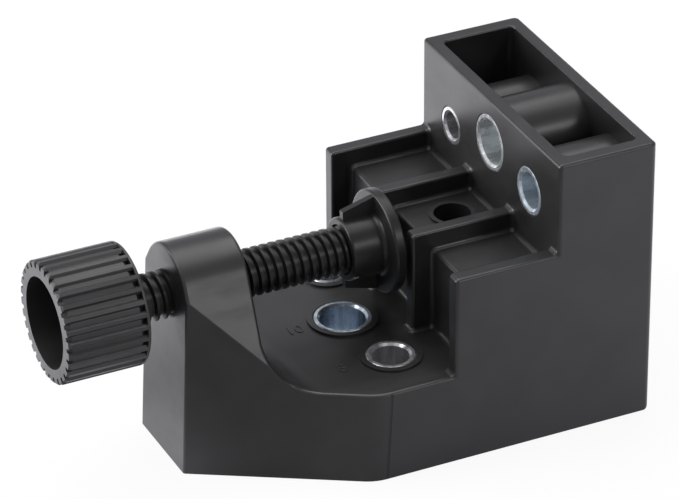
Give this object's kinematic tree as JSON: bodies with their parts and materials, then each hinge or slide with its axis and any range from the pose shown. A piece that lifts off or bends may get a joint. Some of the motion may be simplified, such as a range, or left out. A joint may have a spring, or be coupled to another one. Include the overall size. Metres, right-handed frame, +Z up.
{
  "type": "doweling jig",
  "caption": "Self centering doweling jig: moulded body with steel drill bushes in floor and tower, and a knurled clamp screw with a swivel pad that holds a board to the fence.",
  "frame": {"origin": "on the resting plane, at the middle of the foot's front edge below the clamp screw", "axes": "+X to the right seen from the knob, +Y along the clamp screw from the knob towards the tower, +Z up"},
  "size_m": [0.064, 0.1269, 0.066],
  "materials": {
    "body_plastic": "satin black moulded plastic",
    "bush_steel": "bright zinc plated steel",
    "screw_plastic": "satin black glass filled plastic",
    "knob_plastic": "satin black moulded plastic",
    "pad_plastic": "satin black moulded plastic"
  },
  "bodies": {
    "body": {"jig_body": "body_plastic", "base_bush_6": "bush_steel", "base_bush_8": "bush_steel", "base_bush_10": "bush_steel", "tower_bush_6": "bush_steel", "tower_bush_8": "bush_steel", "tower_bush_10": "bush_steel"},
    "pad": {"pressure_pad": "pad_plastic"},
    "clamp_screw": {"clamp_spindle": "screw_plastic", "knob": "knob_plastic"}
  },
  "joints": [
    {"name": "clamp_travel", "type": "slide", "parent": "body", "child": "pad", "axis": [0, 1, 0], "range_m": [-0.02401, 0.00101]},
    {"name": "spindle_turn", "type": "hinge", "parent": "pad", "child": "clamp_screw", "pos_m": [0, 0.045, 0.0383], "axis": [0, 1, 0], "range_deg": [-4320, 180]}
  ],
  "couplings": [
    {"joint": "clamp_travel", "follows": "spindle_turn", "m_per_rad": 0.00031831}
  ]
}
